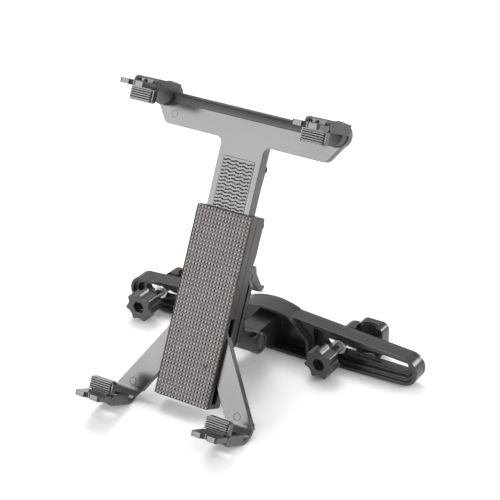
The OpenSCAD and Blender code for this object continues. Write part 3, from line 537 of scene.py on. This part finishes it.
def bead(name, start, end, radius, body):
    """Rod with round ends between two cradle points: middle + s way + r(s) (side cos a + rise sin a).

    r(s) = radius sqrt(1 - t^2), where t grows from 0 to 0.98 over the last radius of either end. A flat
    face closes what is left.
    """
    reach = np.linalg.norm(end - start) / 2
    way = (end - start) / (2 * reach)
    side = np.cross(way, [0, 1.0, 0])
    rise = np.cross(side, way)
    tip = np.sin(np.linspace(0, np.pi / 2, 7)) * radius
    s = np.concatenate([-(reach - radius) - tip[::-1], (reach - radius) + tip])
    t = np.clip((np.abs(s) - reach + radius) / radius, 0, 0.98)
    a = np.linspace(0, 2 * np.pi, 12, endpoint=False)
    around = np.cos(a)[:, None] * side + np.sin(a)[:, None] * rise
    wide = radius * np.sqrt(1 - t ** 2)
    points = ((start + end) / 2 + s[:, None] * way)[:, None] + wide[:, None, None] * around
    at = np.arange(s.size * a.size).reshape(s.size, a.size)
    turn = np.roll(at, -1, 1)
    faces = np.stack([at[:-1], at[1:], turn[1:], turn[:-1]], -1).reshape(-1, 4).tolist()
    faces += [at[0].tolist(), at[-1, ::-1].tolist()]
    mesh_piece(name, skin(name, from_cradle(points), faces), body, MOULDED)


# Outer rim of the right leg: its start in the cradle, half its width, its way down and its way out
RIM_START, RIM_HALF = np.array([0.0254, 0, -0.0283]), 0.00156
RIM_WAY, RIM_OUT = np.array([0.554, 0, -0.832]), np.array([0.832, 0, 0.554])


def on_rim(side, run, out, back):
    """Point of a leg's outer rim, so far along it, out of it and back from the pad's face."""
    point = RIM_START + run * RIM_WAY + (RIM_HALF + out) * RIM_OUT + np.array([0, back, 0])
    return point * np.array([side, 1, 1])


LEGS = ((-1, "left_leg"), (1, "right_leg"))
mould_mark("ejector_mark", (-0.0538, 0.00462, 0.1132), 0.0022, 0.00014, "slider")
for side, body in LEGS:
    mould_mark(f"foot_mark_{body}", (side * 0.0400, 0.00495, -0.0608), 0.0024, 0.00016, body)

# Two fine lines along each leg's outer rim, with four nubs beside them
RIM_ENDS, LINE_BACKS, LINE_RADIUS = (-0.008, 0.0435), (0.0066, 0.0083), 0.0002
NUB_RUNS, NUB_HALF, NUB_OUT = (0.0, 0.0152, 0.0295, 0.0428), 0.0009, 0.0001
NUB_BACK, NUB_RADIUS = 0.0093, 0.00045
for side, body in LEGS:
    for i, back in enumerate(LINE_BACKS):
        ends = [on_rim(side, run, 0, back) for run in RIM_ENDS]
        bead(f"rim_line_{body}_{i}", *ends, LINE_RADIUS, body)
    for i, run in enumerate(NUB_RUNS):
        ends = [on_rim(side, run + half, NUB_OUT, NUB_BACK) for half in (-NUB_HALF, NUB_HALF)]
        bead(f"rim_nub_{body}_{i}", *ends, NUB_RADIUS, body)

hinge_ring("hinge_ring", EAR_X)
hinge_ring("hinge_ring_left", -EAR_X)


# Floor, world and lamps
FLOOR_HALF, FLOOR_Z, FLOOR_WHITE = 6, -0.0002, (0.93, 0.93, 0.93, 1)
floor_mesh = bpy.data.meshes.new("floor")
corners = [(x * FLOOR_HALF, y * FLOOR_HALF, FLOOR_Z) for x, y in ((-1, -1), (1, -1), (1, 1), (-1, 1))]
floor_mesh.from_pydata(corners, [], [(0, 1, 2, 3)])
floor = bpy.data.objects.new("floor", floor_mesh)
scene.collection.objects.link(floor)
floor_mat = bpy.data.materials.new("floor_white")
floor_mat.use_nodes = True
paint = floor_mat.node_tree.nodes["Principled BSDF"].inputs
paint["Base Color"].default_value = FLOOR_WHITE
paint["Roughness"].default_value = 0.6
floor_mesh.materials.append(floor_mat)

world = bpy.data.worlds.new("studio")
scene.world = world
world.use_nodes = True
world.node_tree.nodes["Background"].inputs["Color"].default_value = (1, 1, 1, 1)
world.node_tree.nodes["Background"].inputs["Strength"].default_value = 0.75


def lamp(name, place, aim, size, power):
    """Soft box of a size at a place, turned to its aim."""
    data = bpy.data.lights.new(name, "AREA")
    data.shape, data.size, data.size_y, data.energy = "RECTANGLE", size[0], size[1], power
    obj = bpy.data.objects.new(name, data)
    scene.collection.objects.link(obj)
    direction = Vector(aim) - Vector(place)
    obj.matrix_world = Matrix.Translation(place) @ direction.to_track_quat("-Z", "Y").to_matrix().to_4x4()


lamp("plates", (-0.9, -1.6, 0.65), (0, -0.03, 0.09), (1.0, 0.8), 23)
lamp("over", (-0.55, 0.5, 1.4), (0, 0, 0.05), (0.9, 0.7), 12)
lamp("right", (1.4, 0.1, 0.8), (0, 0, 0.05), (0.5, 0.9), 7)
lamp("edges", (1.0, 1.35, 0.66), (0.05, 0, 0.03), (0.5, 0.4), 9)
